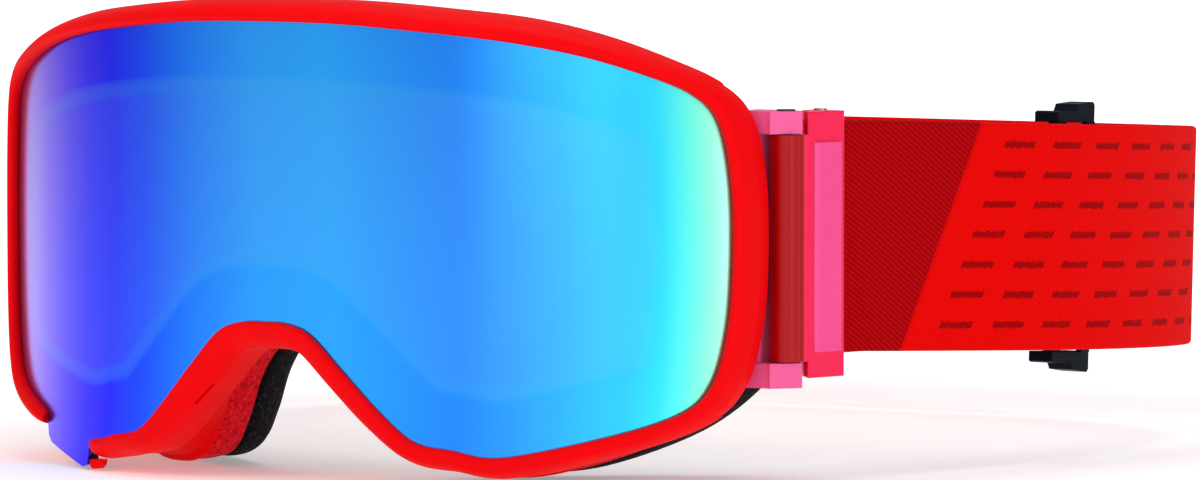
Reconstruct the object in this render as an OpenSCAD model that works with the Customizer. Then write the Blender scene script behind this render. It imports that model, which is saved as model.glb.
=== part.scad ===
// Ski goggles: a cylindrical double lens in a soft frame, three layers of face foam,
// swivelling outriggers and an elastic strap with a slider on each side.
// Millimetres. +X is the wearer's left, +Y goes back to the head and +Z is up.
// The origin is where the foam meets the face, on the middle line, at the strap's height.

/* [Lens] */
// Radius of the outer lens, a piece of an upright cylinder
lens_r = 111; // [108:1:116]
// From the front of the lens back to the face, on the middle line
front_depth = 52; // [51:1:55]
// Thickness of the outer lens
outer_lens_t = 1.2; // [1:0.1:1.4]
// Space between the outer and the inner lens
lens_space = 4.5; // [4:0.5:5]
// Thickness of the inner lens
inner_lens_t = 0.8; // [0.6:0.1:1]
// How far the inner lens stops inside the edge of the outer one
inner_lens_inset = 11; // [10:1:13]

/* [Rim and face frame] */
// Width of the rim around the lens
rim_w = 4.1; // [3.8:0.1:4.3]
// How far the rim stands in front of the lens
rim_proud = 1.8; // [1.4:0.1:2]
// Depth of the rim behind the lens front, on the middle line
rim_depth_mid = 12; // [11:0.5:13]
// Depth of the rim behind the lens front, at the temples
rim_depth_side = 4.2; // [4:0.1:4.6]
// Wall thickness of the face frame
frame_wall = 2.2; // [1.8:0.1:2.4]

/* [Face foam] */
// Radius of the curve that meets the face
face_r = 120; // [116:1:124]
// Thickness of the firm base foam
base_foam_t = 10; // [9:0.5:10.5]
// Thickness of the soft middle foam
soft_foam_t = 10.8; // [10:0.2:11]
// Thickness of the fleece against the skin
fleece_t = 1.2; // [1:0.1:1.4]

/* [Outrigger and swivel plate] */
// Sideways place of the hinge axis
hinge_x = 86; // [86:0.5:88]
// Place of the hinge axis, front to back
hinge_y = -3.6; // [-4:0.2:-3]
// Angle of the plate and strap, outwards from straight back, at rest
strap_splay = 15; // [13:1:17]
// Radius of the hinge barrel
barrel_r = 3.1; // [3:0.1:3.2]
// Radius of the steel hinge pin
pin_r = 1.2; // [1:0.1:1.4]
// Clearance between pin and barrel bore, on the radius
pin_clearance = 0.05; // [0.03:0.01:0.08]

/* [Strap] */
// Width of the strap
strap_w = 44; // [42:1:45]
// Thickness of the strap
strap_t = 1.6; // [1.4:0.1:1.7]
// Radius of the strap along the side of the head
side_r = 145; // [138:1:152]
// Radius of the strap at the back corners
corner_r = 55; // [50:1:60]
// Distance along the strap from the hinge axis to the middle of the slider
slider_at = 83; // [80:1:86]
// Slope of the strap down towards the back of the head (degrees)
strap_tilt = 2.7; // [0:0.1:3.5]

/* [Hidden] */
$fn = 64;

/* ---- Outline of the lens, seen from the front ---- */
// Wearer's left half, from the brow down round the cheek to the top of the nose.
half_outline = [[0, 41.3], [17, 41], [34, 39.6], [48, 37.9], [60, 35.3], [70, 31.6],
    [76.8, 27.8], [80.3, 22.6], [81.9, 12], [82.2, -2], [81.5, -16], [79.3, -26.5],
    [74.8, -31.8], [64, -36], [47, -39.9], [38, -38.7], [31, -37.2], [24.6, -32],
    [17.5, -24.8], [10.4, -17.8], [5.4, -15.7], [0, -15.4]];
// The outer edge of the face foam, point for point beside it: narrower, lower at the temples,
// and with a steeper and wider arch for the nose.
half_face = [[0, 40], [15.6, 39.7], [31.3, 37.6], [44, 34.6], [55, 30.3], [63.5, 25.2],
    [69.8, 19.4], [73.4, 14.6], [75, 8], [75.4, -1], [74.8, -12.5], [72.8, -22], [69, -29.4],
    [60, -37.6], [45.5, -44], [35, -44.8], [27.4, -42.8], [23, -36.5], [19.3, -28], [14, -21.8],
    [7.4, -19.8], [0, -19.5]];
half_count = len(half_outline);
function mirrored(half) =
    concat(half, [for (i = [half_count - 2:-1:1]) [-half[i].x, half[i].y]]);
outline = mirrored(half_outline);
face_outline = mirrored(half_face);
count = len(outline);
substeps = 3;
path_count = count * substeps;

// Smooth curve through four points, between the second and the third
function curve(a, b, c, d, t) = 0.5 * (2 * b + (c - a) * t + (2 * a - 5 * b + 4 * c - d) * t * t
    + (3 * b - a - 3 * c + d) * t * t * t);
function smooth_path(points) = [for (i = [0:count - 1]) for (j = [0:substeps - 1])
    curve(points[(i + count - 1) % count], points[i], points[(i + 1) % count],
        points[(i + 2) % count], j / substeps)];
path = smooth_path(outline);
face_path = smooth_path(face_outline);

// Outward direction at each point of the path, and the same smoothed for wide rings
function unit(v) = v / norm(v);
function normals_of(line) = [for (i = [0:path_count - 1])
    let (v = line[(i + 1) % path_count] - line[(i + path_count - 1) % path_count])
    unit([-v.y, v.x])];
normals = normals_of(path);
face_normals = normals_of(face_path);
smooth_reach = 3;
soft_normals = [for (i = [0:path_count - 1])
    unit([for (k = [-smooth_reach:smooth_reach]) 1] * [for (k = [-smooth_reach:smooth_reach])
        face_normals[(i + k + path_count) % path_count]])];

// The rim is open below the wearer's right cheek, where the lens has its tab.
gap_start = (count - 13) * substeps;
gap_end = (count - 14) * substeps;
rim_steps = path_count - (gap_start - gap_end);

/* ---- Curved surfaces that the layers follow ---- */
// Depth of the lens front and of the face side at a sideways place x
function lens_y(x) = lens_r - front_depth - sqrt(lens_r * lens_r - x * x);
function inside_lens_y(x, depth) = lens_r - front_depth - sqrt(pow(lens_r - depth, 2) - x * x);
function face_y(x) = face_r - sqrt(face_r * face_r - x * x);
// 0 on the middle line, rising to 1 at the temples
function side_share(x) = let (t = min(1, max(0, (abs(x) - 40) / 42))) t * t * (3 - 2 * t);
// 1 at the nose, falling to 0 at the cheeks and everywhere above
function nose_share(p) = p.y < 0 ? 1 / (1 + pow(abs(p.x) / 30, 6)) : 0;
function rim_depth(x) = rim_depth_mid + (rim_depth_side - rim_depth_mid) * side_share(x);

// The face side lies further forward round the nose.
nose_forward = 12;
function nose_step(x, z) = z < 0 ? nose_forward / (1 + pow(abs(x) / 42, 6)) : 0;
function front_point(p, n, u, d) = let (q = p + n * u) [q.x, lens_y(q.x) + d, q.y];
function inside_point(p, n, u, depth) = let (q = p + n * u)
    [q.x, inside_lens_y(q.x, depth), q.y];
function face_point(i, u, d) = let (p = face_path[i % path_count],
        q = p + soft_normals[i % path_count] * u)
    [q.x, face_y(q.x) + d - nose_step(p.x, p.y), q.y];

/* ---- A closed or open sweep of sections along the path ---- */
// Layers that touch have the same triangles on their shared face: every second one is flipped.
module loft(sections, closed, flip = false) {
    rings = len(sections);
    size = len(sections[0]);
    spans = closed ? rings : rings - 1;
    points = [for (s = sections) for (q = s) q];
    sides = [for (i = [0:spans - 1]) for (j = [0:size - 1])
        let (a = i * size, b = ((i + 1) % rings) * size, k = (j + 1) % size)
        each flip ? [[a + j, b + j, a + k], [b + j, b + k, a + k]]
            : [[a + j, b + j, b + k], [a + j, b + k, a + k]]];
    first_cap = [for (j = [0:size - 1]) j];
    last_cap = [for (j = [size - 1:-1:0]) (rings - 1) * size + j];
    polyhedron(points, closed ? sides : concat(sides, [first_cap, last_cap]));
}

/* ---- Lenses ---- */
lens_under_rim = 0.9;
tab = [[-64, -34], [-63.8, -40.8], [-62.4, -42.2], [-50, -45.9], [-48.4, -45.4],
    [-47.8, -42.6], [-46.4, -38]];

module lens_shell(front, thickness) {
    translate([0, lens_r - front_depth, -60]) difference() {
        cylinder(h = 120, r = lens_r - front, $fn = 360);
        translate([0, 0, -1]) cylinder(h = 122, r = lens_r - front - thickness, $fn = 360);
    }
}

module cut_to_outline(front, thickness) {
    intersection() {
        lens_shell(front, thickness);
        rotate([90, 0, 0]) linear_extrude(height = 70) children();
    }
}

module outer_lens() {
    color("royalblue", 0.8) {
        cut_to_outline(0.1, outer_lens_t)
            polygon([for (i = [0:path_count - 1]) path[i] + normals[i] * lens_under_rim]);
        cut_to_outline(0.1, outer_lens_t) polygon(tab);
    }
}

inner_lens_front = 0.1 + outer_lens_t + lens_space;

module inner_lens() {
    color("lightskyblue", 0.5) cut_to_outline(inner_lens_front, inner_lens_t)
        offset(r = -inner_lens_inset) polygon(path);
}

spacer_w = 3;

module lens_spacer() {
    color("dimgray") cut_to_outline(0.1 + outer_lens_t, lens_space) difference() {
        offset(r = -inner_lens_inset) polygon(path);
        offset(r = -inner_lens_inset - spacer_w) polygon(path);
    }
}

/* ---- Rim ---- */
rim_inner = 1.2;
side_narrowing = 0.35;
side_flange = 1.1;
nose_widening = 1.2;
// Profile of the rim: distance outwards from the lens edge, and depth behind the lens front
function rim_section(i) = let (p = path[i % path_count], n = normals[i % path_count],
        stretch = 1 - side_narrowing * side_share(p.x)
            + nose_widening * nose_share(p) / (rim_w - rim_inner),
        back = rim_depth(p.x),
        profile = [[0, 0.05], [0.05, -0.6 * rim_proud], [0.7, -rim_proud],
            [1.7, 0.1 - rim_proud], [2.8, -0.7], [3.6, 1.2], [rim_w, 3.6], [rim_w, back],
            [rim_inner, back], [rim_inner, 0.05]])
    [for (q = profile) let (
            u = q.x > rim_inner ? rim_inner + (q.x - rim_inner) * stretch : q.x)
        front_point(p, n, u, q.y - (q.y < 4 ? side_flange * side_share(p.x) * u : 0))];

// Narrow breathing slits in the nose walls of the rim
module nose_slits() {
    for (side = [-1, 1])
        translate([side * 16.1, 3.4 - front_depth, -29.4]) rotate([0, side * 45, 0])
            cube([6, 0.9, 3], center = true);
}

module front_rim() {
    color("red") difference() {
        loft([for (i = [0:rim_steps]) rim_section(gap_start + i)], false);
        nose_slits();
    }
}

// Moulded hook under the end of the rim, which the tab of the lens snaps past
module rim_hook() {
    color("red") translate([0, lens_y(45) + 2.8, 0]) rotate([90, 0, 0])
        linear_extrude(height = 2.6)
            polygon([[-46.7, -44.25], [-46.7, -45.5], [-46.1, -46], [-45.2, -46],
                [-44.5, -45.2], [-44.3, -44.25]]);
}

// Soft seal behind the tab of the lens
module tab_gasket() {
    color("#20262a") cut_to_outline(0.2 + outer_lens_t, 1.6)
        polygon([[-62.6, -39.6], [-62, -41.4], [-50, -44.9], [-47.9, -45.5], [-47.6, -44.3],
            [-48.1, -43]]);
}

/* ---- Face frame ---- */
seat = -(base_foam_t + soft_foam_t + fleece_t);
seat_w = 7;
frame_gap = 0.1;

function frame_section(i) = let (p = path[i], n = normals[i],
        back = rim_depth(p.x), step = rim_inner - frame_gap,
        shoulder = step + (rim_w - 1.3) * (1 - side_share(p.x)) + nose_widening * nose_share(p))
    [inside_point(p, n, step, outer_lens_t + 0.25), front_point(p, n, step, back + frame_gap),
     front_point(p, n, shoulder, back + frame_gap), face_point(i, 0, seat),
     face_point(i, -seat_w, seat), face_point(i, -seat_w, seat - frame_wall),
     face_point(i, -frame_wall, seat - frame_wall),
     front_point(p, n, step - frame_wall, back + frame_wall),
     inside_point(p, n, step - frame_wall, outer_lens_t + 0.25)];

vent_places = [-52, -31, -10.5, 10.5, 31, 52];
vent_w = 14;
vent_h = 4.5;
cheek_vents = [[-58, -36], [58, -36]];

module vent_slots() {
    for (x = vent_places)
        translate([x, lens_y(x) + rim_depth(x) + 6.5, 36]) rotate([0, 0, x * 0.5])
            cube([vent_w, vent_h, 30], center = true);
    for (v = cheek_vents)
        translate([v.x, lens_y(v.x) + rim_depth(v.x) + 7, v.y]) rotate([0, 0, v.x * 0.5])
            cube([12, vent_h, 24], center = true);
}

module face_frame() {
    color("red") difference() {
        loft([for (i = [0:path_count - 1]) frame_section(i)], true);
        vent_slots();
    }
}

/* ---- Thin foam strips behind the vents, inside the frame ---- */
function mix(a, b, share) = a + (b - a) * share;
function strip_section(i) = let (p = path[i % path_count], n = normals[i % path_count],
        inwards = [-n.x, 0, -n.y],
        a = front_point(p, n, rim_inner - frame_gap - frame_wall, rim_depth(p.x) + frame_wall),
        b = face_point(i, -frame_wall, seat - frame_wall))
    [mix(a, b, 0.12) + 0.9 * inwards, mix(a, b, 0.75) + 0.9 * inwards,
     mix(a, b, 0.75) + 3.4 * inwards, mix(a, b, 0.12) + 3.4 * inwards];

module vent_strip(first, last) {
    color("#1c2226") loft([for (i = [first:last]) strip_section(i)], false);
}

brow_last = 4.6 * substeps;

module top_vent_foam() {
    vent_strip(path_count - floor(brow_last), path_count + floor(brow_last));
}

module bottom_vent_foam_left() {
    vent_strip(12 * substeps + 1, 14 * substeps);
}

module bottom_vent_foam_right() {
    vent_strip(path_count - 14 * substeps, path_count - 12 * substeps - 1);
}

/* ---- Face foam ---- */
module foam_ring(profile, flip) {
    loft([for (i = [0:path_count - 1])
        [for (q = profile) face_point(i, q.x, q.y)]], true, flip);
}

soft_front = -(soft_foam_t + fleece_t);

module foam_base() {
    color("#d81440") foam_ring([[0, seat], [0.4, seat + base_foam_t / 2], [0, soft_front],
        [-8.2, soft_front], [-seat_w, seat]], true);
}

module foam_cushion() {
    color("#182022") foam_ring([[0, soft_front], [0.5, soft_front + 3], [0.4, -fleece_t - 4],
        [-1.2, -fleece_t], [-7.2, -fleece_t], [-9.2, -fleece_t - 3], [-9.2, soft_front + 3],
        [-8.2, soft_front]], false);
}

module face_fleece() {
    color("#101416") foam_ring([[-1.2, -fleece_t], [-2.4, 0], [-6, 0], [-7.2, -fleece_t]], true);
}

/* ---- Places on each side of the head ---- */
// side is 1 on the wearer's left and -1 on the right
module on_side(side) {
    if (side > 0) children();
    else mirror([1, 0, 0]) children();
}

// At the hinge: x outwards from the strap, y along it, z up
module at_hinge() {
    translate([hinge_x, hinge_y, 0]) rotate([0, 0, -strap_splay]) children();
}

/* ---- The strap's line round the head, by distance s from the hinge axis ---- */
straight_end = 57;
side_turn = 33;
corner_turn = 90 + strap_splay - side_turn;
side_end = straight_end + side_r * side_turn * PI / 180;
corner_end = side_end + corner_r * corner_turn * PI / 180;
function along(a) = [sin(a), cos(a)];
function outwards(a) = [cos(a), -sin(a)];
side_centre = [hinge_x, hinge_y] + straight_end * along(strap_splay)
    - side_r * outwards(strap_splay);
corner_heading = strap_splay - side_turn;
corner_centre = side_centre + (side_r - corner_r) * outwards(corner_heading);
back_end = corner_end + corner_centre.x;
function side_heading(s) = strap_splay - (s - straight_end) / side_r * 180 / PI;
function corner_place(s) = corner_heading - (s - side_end) / corner_r * 180 / PI;

// Piece of a flat ring between two headings, seen from above
module arc_band(centre, from_heading, to_heading, inner, outer) {
    middle = (from_heading + to_heading) / 2;
    translate(centre) intersection() {
        difference() {
            circle(r = outer, $fn = 240);
            circle(r = inner, $fn = 240);
        }
        polygon(2 * outer * [[0, 0], outwards(from_heading), outwards(middle),
            outwards(to_heading)]);
    }
}

// The strap from s0 to s1 along its line, between two offsets outwards, seen from above.
// The side arc and the back piece are a hair thinner and reach into their neighbours.
lap = 0.5;
hair = 0.01;
module band(s0, s1, t_in, t_out) {
    if (s0 < straight_end)
        translate([hinge_x, hinge_y]) rotate(-strap_splay) translate([t_in, s0])
            square([t_out - t_in, min(s1, straight_end) - s0]);
    if (s0 < side_end && s1 > straight_end)
        arc_band(side_centre, side_heading(max(s0, straight_end - lap)),
            side_heading(min(s1, side_end + lap)), side_r + t_in + hair, side_r + t_out - hair);
    if (s0 < corner_end && s1 > side_end)
        arc_band(corner_centre, corner_place(max(s0, side_end)), corner_place(min(s1, corner_end)),
            corner_r + t_in, corner_r + t_out);
    if (s1 > corner_end)
        translate([0, corner_centre.y + corner_r + t_in + hair])
            square([corner_centre.x + lap, t_out - t_in - 2 * hair]);
}

// The whole way round the back, from s0 on one side to s0 on the other
module loop_band(s0, t_in, t_out) {
    band(s0, back_end, t_in, t_out);
    mirror([1, 0]) band(s0, back_end, t_in, t_out);
}

module upright(low, high) {
    translate([0, 0, low]) linear_extrude(height = high - low) children();
}

// The loop behind the swivel plates slopes down from here
tilt_start = 16;
module sloping() {
    translate([0, tilt_start, 0]) rotate([-strap_tilt, 0, 0]) translate([0, -tilt_start, 0])
        children();
}

/* ---- Outrigger ---- */
strap_mid = 0.3;
strap_low = strap_mid - strap_w / 2;
strap_high = strap_mid + strap_w / 2;
arm_top = [20.3, 24.6];
arm_bottom = [-27.6, -22.9];
lug_reach = 3.7;
end_play = 0.2;

// Arm from the frame's side wall to the hinge pin, with a flat outer face
module arm(span) {
    upright(span[0], span[1]) union() {
        translate([hinge_x, hinge_y]) rotate(-strap_splay)
            polygon([[0.5, -4.8], [3, 1.4], [1.6, 2.8], [-2.4, 2.8], [-3.4, 1], [-3, -4]]);
        polygon([[77.5, hinge_y - 4.4], [84.8, hinge_y - 4.4], [hinge_x, hinge_y - 1.4],
            [hinge_x - 1, hinge_y + 2], [82, hinge_y + 3.9], [77.5, hinge_y + 3.9]]);
    }
}

module outrigger(side) {
    color("red") on_side(side) difference() {
        union() {
            arm(arm_top);
            arm(arm_bottom);
            translate([79, hinge_y - 3.4, arm_bottom[0]]) cube([2.8, 6.4, arm_top[1] - arm_bottom[0]]);
        }
        translate([hinge_x, hinge_y, -40]) cylinder(h = 80, r = pin_r);
    }
}

module hinge_pin(side) {
    color("#303438") on_side(side) translate([hinge_x, hinge_y, 0]) {
        translate([0, 0, arm_bottom[0] + 0.4]) cylinder(h = arm_top[1] - arm_bottom[0] - 0.4, r = pin_r);
        translate([0, 0, arm_top[1]]) cylinder(h = 0.3, r = 1.8);
    }
}

/* ---- Swivel plate ---- */
plate_low = -25.8;
plate_high = 24.4;
plate_start = 2.4;
plate_end = 12.6;
skin = [1.6, 3.4];
rail_low = strap_low - 0.4;
rail_high = strap_high + 0.3;
bar_place = [-1.9, 11];
bar_r = 1.3;

module rail(low, high) {
    upright(low, high) polygon([[skin[0], 4.6], [skin[0], plate_end], [-3.6, plate_end],
        [-4.2, plate_end - 0.8], [-4.2, 9], [-3.4, 7.6], [0, 4.8]]);
}

module swivel_plate(side) {
    color("red") on_side(side) at_hinge() difference() {
        union() {
            upright(arm_bottom[1] + end_play, arm_top[0] - end_play) circle(r = barrel_r);
            upright(arm_bottom[1] + end_play, arm_top[0] - end_play)
                polygon([[0.6, 2], [2.4, 0.8], [skin[1] - 0.4, plate_start], [skin[1] - 0.4, 5],
                    [skin[0], 5], [0.6, 3]]);
            difference() {
                upright(plate_low, plate_high) polygon([[skin[0], plate_start],
                    [skin[1] - 0.5, plate_start], [skin[1], plate_start + 0.6],
                    [skin[1], plate_end - 0.6], [skin[1] - 0.5, plate_end], [skin[0], plate_end]]);
                translate([0, 0, arm_top[0] - end_play]) cylinder(h = 12, r = lug_reach + 0.4);
                translate([0, 0, arm_bottom[1] + end_play - 12]) cylinder(h = 12, r = lug_reach + 0.4);
            }
            rail(plate_low, rail_low);
            rail(rail_high, plate_high);
        }
        translate([0, 0, -40]) cylinder(h = 80, r = pin_r + pin_clearance);
        translate([bar_place.x, bar_place.y, -40]) cylinder(h = 80, r = bar_r);
    }
}

panel_t = 0.6;
panel_low = -21;
panel_high = 18.6;

module plate_panel(side) {
    color("#e00c10") on_side(side) at_hinge() translate([skin[1], 0, 0])
        upright(panel_low, panel_high)
            polygon([[0, 4], [0.2, 4.2], [panel_t, 5], [panel_t, 10.9], [0, 11.2]]);
}

module strap_bar(side) {
    color("silver") on_side(side) at_hinge() translate([bar_place.x, bar_place.y, plate_low + 0.6])
        cylinder(h = plate_high - plate_low - 0.3, r = bar_r);
}

/* ---- Strap ---- */
fold_inner_r = bar_r + 0.1;
band_t = [fold_inner_r + bar_place.x, fold_inner_r + bar_place.x + strap_t];
tail_t = [bar_place.x - fold_inner_r - strap_t, bar_place.x - fold_inner_r];
bend_r = 20;
bend_gap = 0.4;

// Fold of the strap round the bar, up to where it starts to bend with the plate
module strap_end(side) {
    color("#a80a0c") on_side(side) at_hinge() intersection() {
        upright(strap_low, strap_high) union() {
            difference() {
                translate(bar_place) circle(r = fold_inner_r + strap_t);
                translate(bar_place) circle(r = fold_inner_r);
                translate([-20, bar_place.y]) square([40, 20]);
            }
            translate([band_t[0], bar_place.y]) square([strap_t, 12]);
            translate([tail_t[0], bar_place.y]) square([strap_t, 12]);
        }
        translate([0, 0, -30]) cylinder(h = 60, r = bend_r - bend_gap);
    }
}

seam_low = 30.2;
seam_high = 51.1;

// Everything in front of the slanting seam between the two colours
module front_of_seam() {
    lean = (seam_high - seam_low) / strap_w;
    at_hinge() rotate([90, 0, 90]) translate([0, 0, -15]) linear_extrude(height = 30)
        polygon([[-5, strap_low - 10], [seam_low - 10 * lean, strap_low - 10],
            [seam_high + 10 * lean, strap_high + 10], [-5, strap_high + 10]]);
}

module bend_relief() {
    at_hinge() translate([0, 0, -30]) cylinder(h = 60, r = bend_r);
}

module strap_front(side) {
    color("#a80a0c") on_side(side) difference() {
        sloping() intersection() {
            upright(strap_low, strap_high)
                band(8, straight_end, band_t[0], band_t[1]);
            front_of_seam();
        }
        bend_relief();
    }
}

module strap_back() {
    color("#f01410") sloping() difference() {
        upright(strap_low, strap_high) loop_band(seam_low - 6, band_t[0], band_t[1]);
        front_of_seam();
        mirror([1, 0, 0]) front_of_seam();
    }
}

tail_end = slider_at + 40;

module strap_tail(side) {
    color("#8c0a0c") on_side(side) difference() {
        sloping() upright(strap_low, strap_high) band(8, tail_end, tail_t[0], tail_t[1]);
        bend_relief();
    }
}

grip_start = 130;
grip_t = 0.4;

// Silicone lines on the inside of the back of the strap
module grip_lines() {
    color("#303030") sloping() for (z = [-12, 0, 12])
        upright(strap_mid + z - 1.2, strap_mid + z + 1.2)
            loop_band(grip_start, band_t[0] - grip_t, band_t[0]);
}

/* ---- Slider ---- */
slider_half = 6.5;
bar_reach = 4.9;

// On the strap's side curve: x outwards, y along it, z up
module on_strap(s) {
    translate(side_centre) rotate([0, 0, -side_heading(s)]) translate([side_r, 0, 0]) children();
}

// Ribbed end of the slider, above or below the strap
module slider_end(low) {
    teeth = 3;
    pitch = 1.9;
    rotate([90, 0, 90]) translate([0, 0, tail_t[0] - 1.9]) linear_extrude(height = 5.4)
        polygon(concat([[-slider_half, low], [-slider_half, low + 1.9]],
            [for (i = [0:teeth - 1]) let (y = 0.8 - slider_half + i * pitch)
                each [[y, low + 2.2], [y + 0.8, low + 1.6], [y + 1.2, low + 1.6]]],
            [[0, low + 2.2], [0.8, low + 3.6], [slider_half - 0.6, low + 4.1],
                [slider_half, low + 3.5], [slider_half, low]]));
}

module slider_bar(s, t_low, t_high, half) {
    upright(rail_low - 0.2, rail_high + 0.2) band(s - half, s + half, t_low, t_high);
}

module slider(side) {
    color("#27343c") on_side(side) sloping() union() {
        on_strap(slider_at) slider_end(rail_high);
        on_strap(slider_at) translate([0, 0, rail_low]) mirror([0, 0, 1]) slider_end(0);
        slider_bar(slider_at - bar_reach, tail_t[1] + 1, band_t[0] - 0.9, 1.5);
        slider_bar(slider_at, tail_t[0] - 1.9, tail_t[0] - 0.4, 1.7);
        slider_bar(slider_at + bar_reach, tail_t[1] + 1, band_t[0] - 0.5, 1.5);
    }
}

// Webbing loop round the slider's front bar
module slider_tab(side) {
    web_t = 0.5;
    low = tail_t[1] + 0.4;
    high = band_t[0] - 0.3;
    middle = slider_at - bar_reach;
    color("#7c0a0c") on_side(side) sloping() upright(strap_low + 1, strap_high - 1)
        difference() {
            band(middle - 6, middle + 2.2, low, high);
            band(middle - 1.7, middle + 1.7, low + web_t, high - web_t);
        }
}

front_rim();
face_frame();
outer_lens();
inner_lens();
lens_spacer();
rim_hook();
tab_gasket();
top_vent_foam();
bottom_vent_foam_left();
bottom_vent_foam_right();
foam_base();
foam_cushion();
face_fleece();
outrigger(1);  // outrigger_left
outrigger(-1);  // outrigger_right
hinge_pin(1);  // hinge_pin_left
hinge_pin(-1);  // hinge_pin_right
swivel_plate(1);  // swivel_plate_left
swivel_plate(-1);  // swivel_plate_right
plate_panel(1);  // plate_panel_left
plate_panel(-1);  // plate_panel_right
strap_bar(1);  // strap_bar_left
strap_bar(-1);  // strap_bar_right
strap_end(1);  // strap_end_left
strap_end(-1);  // strap_end_right
strap_front(1);  // strap_front_left
strap_front(-1);  // strap_front_right
strap_back();
strap_tail(1);  // strap_tail_left
strap_tail(-1);  // strap_tail_right
slider(1);  // slider_left
slider(-1);  // slider_right
slider_tab(1);  // slider_tab_left
slider_tab(-1);  // slider_tab_right
grip_lines();
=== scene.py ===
"""Looks of the ski goggles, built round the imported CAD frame."""

import math

import bmesh
import bpy
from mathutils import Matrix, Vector


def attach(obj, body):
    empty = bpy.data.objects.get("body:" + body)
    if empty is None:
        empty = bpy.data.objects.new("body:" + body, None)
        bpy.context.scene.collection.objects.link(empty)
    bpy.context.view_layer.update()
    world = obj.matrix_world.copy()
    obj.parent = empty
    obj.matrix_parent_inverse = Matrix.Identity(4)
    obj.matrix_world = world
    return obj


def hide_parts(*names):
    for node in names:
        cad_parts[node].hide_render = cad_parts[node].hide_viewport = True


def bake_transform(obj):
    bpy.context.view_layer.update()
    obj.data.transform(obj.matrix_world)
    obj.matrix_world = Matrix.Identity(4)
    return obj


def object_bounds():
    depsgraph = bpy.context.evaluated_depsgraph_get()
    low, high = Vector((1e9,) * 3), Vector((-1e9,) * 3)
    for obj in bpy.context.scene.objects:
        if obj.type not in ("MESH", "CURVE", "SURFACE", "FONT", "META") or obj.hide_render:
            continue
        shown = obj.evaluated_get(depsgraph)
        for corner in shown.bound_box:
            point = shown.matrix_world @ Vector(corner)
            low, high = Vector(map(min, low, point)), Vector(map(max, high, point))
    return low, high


MM = 0.001

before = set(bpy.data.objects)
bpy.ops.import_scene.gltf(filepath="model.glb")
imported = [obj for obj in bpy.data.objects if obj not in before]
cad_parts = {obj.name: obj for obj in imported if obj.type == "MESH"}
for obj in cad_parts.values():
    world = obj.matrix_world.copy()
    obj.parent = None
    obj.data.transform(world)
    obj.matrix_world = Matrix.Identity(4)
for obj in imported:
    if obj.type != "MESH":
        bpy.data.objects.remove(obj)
cad_box = [list(corner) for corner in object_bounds()]

# ---- The CAD's shape in millimetres, repeated for the finer meshes ----
LENS_R, FRONT_DEPTH = 111.0, 52.0
OUTER_LENS_T, LENS_UNDER_RIM = 1.2, 0.9
RIM_W, RIM_PROUD, RIM_INNER = 4.1, 1.8, 1.2
RIM_DEPTH_MID, RIM_DEPTH_SIDE = 12.0, 4.2
SIDE_NARROWING, SIDE_FLANGE, NOSE_WIDENING = 0.35, 1.1, 1.2
FRAME_WALL, FRAME_GAP = 2.2, 0.1
FACE_R, NOSE_FORWARD = 120.0, 12.0
SEAT, SEAT_W, SOFT_FRONT, FLEECE_T = -22.0, 7.0, -12.0, 1.2
HINGE, SPLAY = (86.0, -3.6), 15.0
STRAP_LOW, STRAP_HIGH, STRAP_T = -21.7, 22.3, 1.6
BAND_MID, TAIL_MID, BAR_PLACE = 0.3, -4.1, (-1.9, 11.0)
SIDE_R, CORNER_R, STRAIGHT_END, SIDE_TURN = 145.0, 55.0, 57.0, 33.0
SEAM_LOW, SEAM_HIGH, TAIL_END = 30.2, 51.1, 123.0
TILT, TILT_START = math.radians(2.7), 16.0
TAB = [(-64, -34), (-63.8, -40.8), (-62.4, -42.2), (-50, -45.9), (-48.4, -45.4), (-47.8, -42.6),
       (-46.4, -38)]
HALF_OUTLINE = [(0, 41.3), (17, 41), (34, 39.6), (48, 37.9), (60, 35.3), (70, 31.6),
                (76.8, 27.8), (80.3, 22.6), (81.9, 12), (82.2, -2), (81.5, -16), (79.3, -26.5),
                (74.8, -31.8), (64, -36), (47, -39.9), (38, -38.7), (31, -37.2), (24.6, -32),
                (17.5, -24.8), (10.4, -17.8), (5.4, -15.7), (0, -15.4)]
# The outer edge of the face foam, point for point beside it
HALF_FACE = [(0, 40), (15.6, 39.7), (31.3, 37.6), (44, 34.6), (55, 30.3), (63.5, 25.2),
             (69.8, 19.4), (73.4, 14.6), (75, 8), (75.4, -1), (74.8, -12.5), (72.8, -22),
             (69, -29.4), (60, -37.6), (45.5, -44), (35, -44.8), (27.4, -42.8), (23, -36.5),
             (19.3, -28), (14, -21.8), (7.4, -19.8), (0, -19.5)]
OUTLINE = HALF_OUTLINE + [(-x, z) for x, z in HALF_OUTLINE[-2:0:-1]]
FACE_OUTLINE = HALF_FACE + [(-x, z) for x, z in HALF_FACE[-2:0:-1]]
STEPS = 16


def catmull(a, b, c, d, t):
    return tuple(0.5 * (2 * q + (r - p) * t + (2 * p - 5 * q + 4 * r - s) * t * t
                        + (3 * q - p - 3 * r + s) * t ** 3) for p, q, r, s in zip(a, b, c, d))


def smooth_loop(points, steps):
    n = len(points)
    return [catmull(points[i - 1], points[i], points[(i + 1) % n], points[(i + 2) % n], j / steps)
            for i in range(n) for j in range(steps)]


def unit(v):
    size = math.hypot(*v)
    return tuple(a / size for a in v)


PATH = smooth_loop(OUTLINE, STEPS)
FACE_PATH = smooth_loop(FACE_OUTLINE, STEPS)
COUNT = len(PATH)


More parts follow.
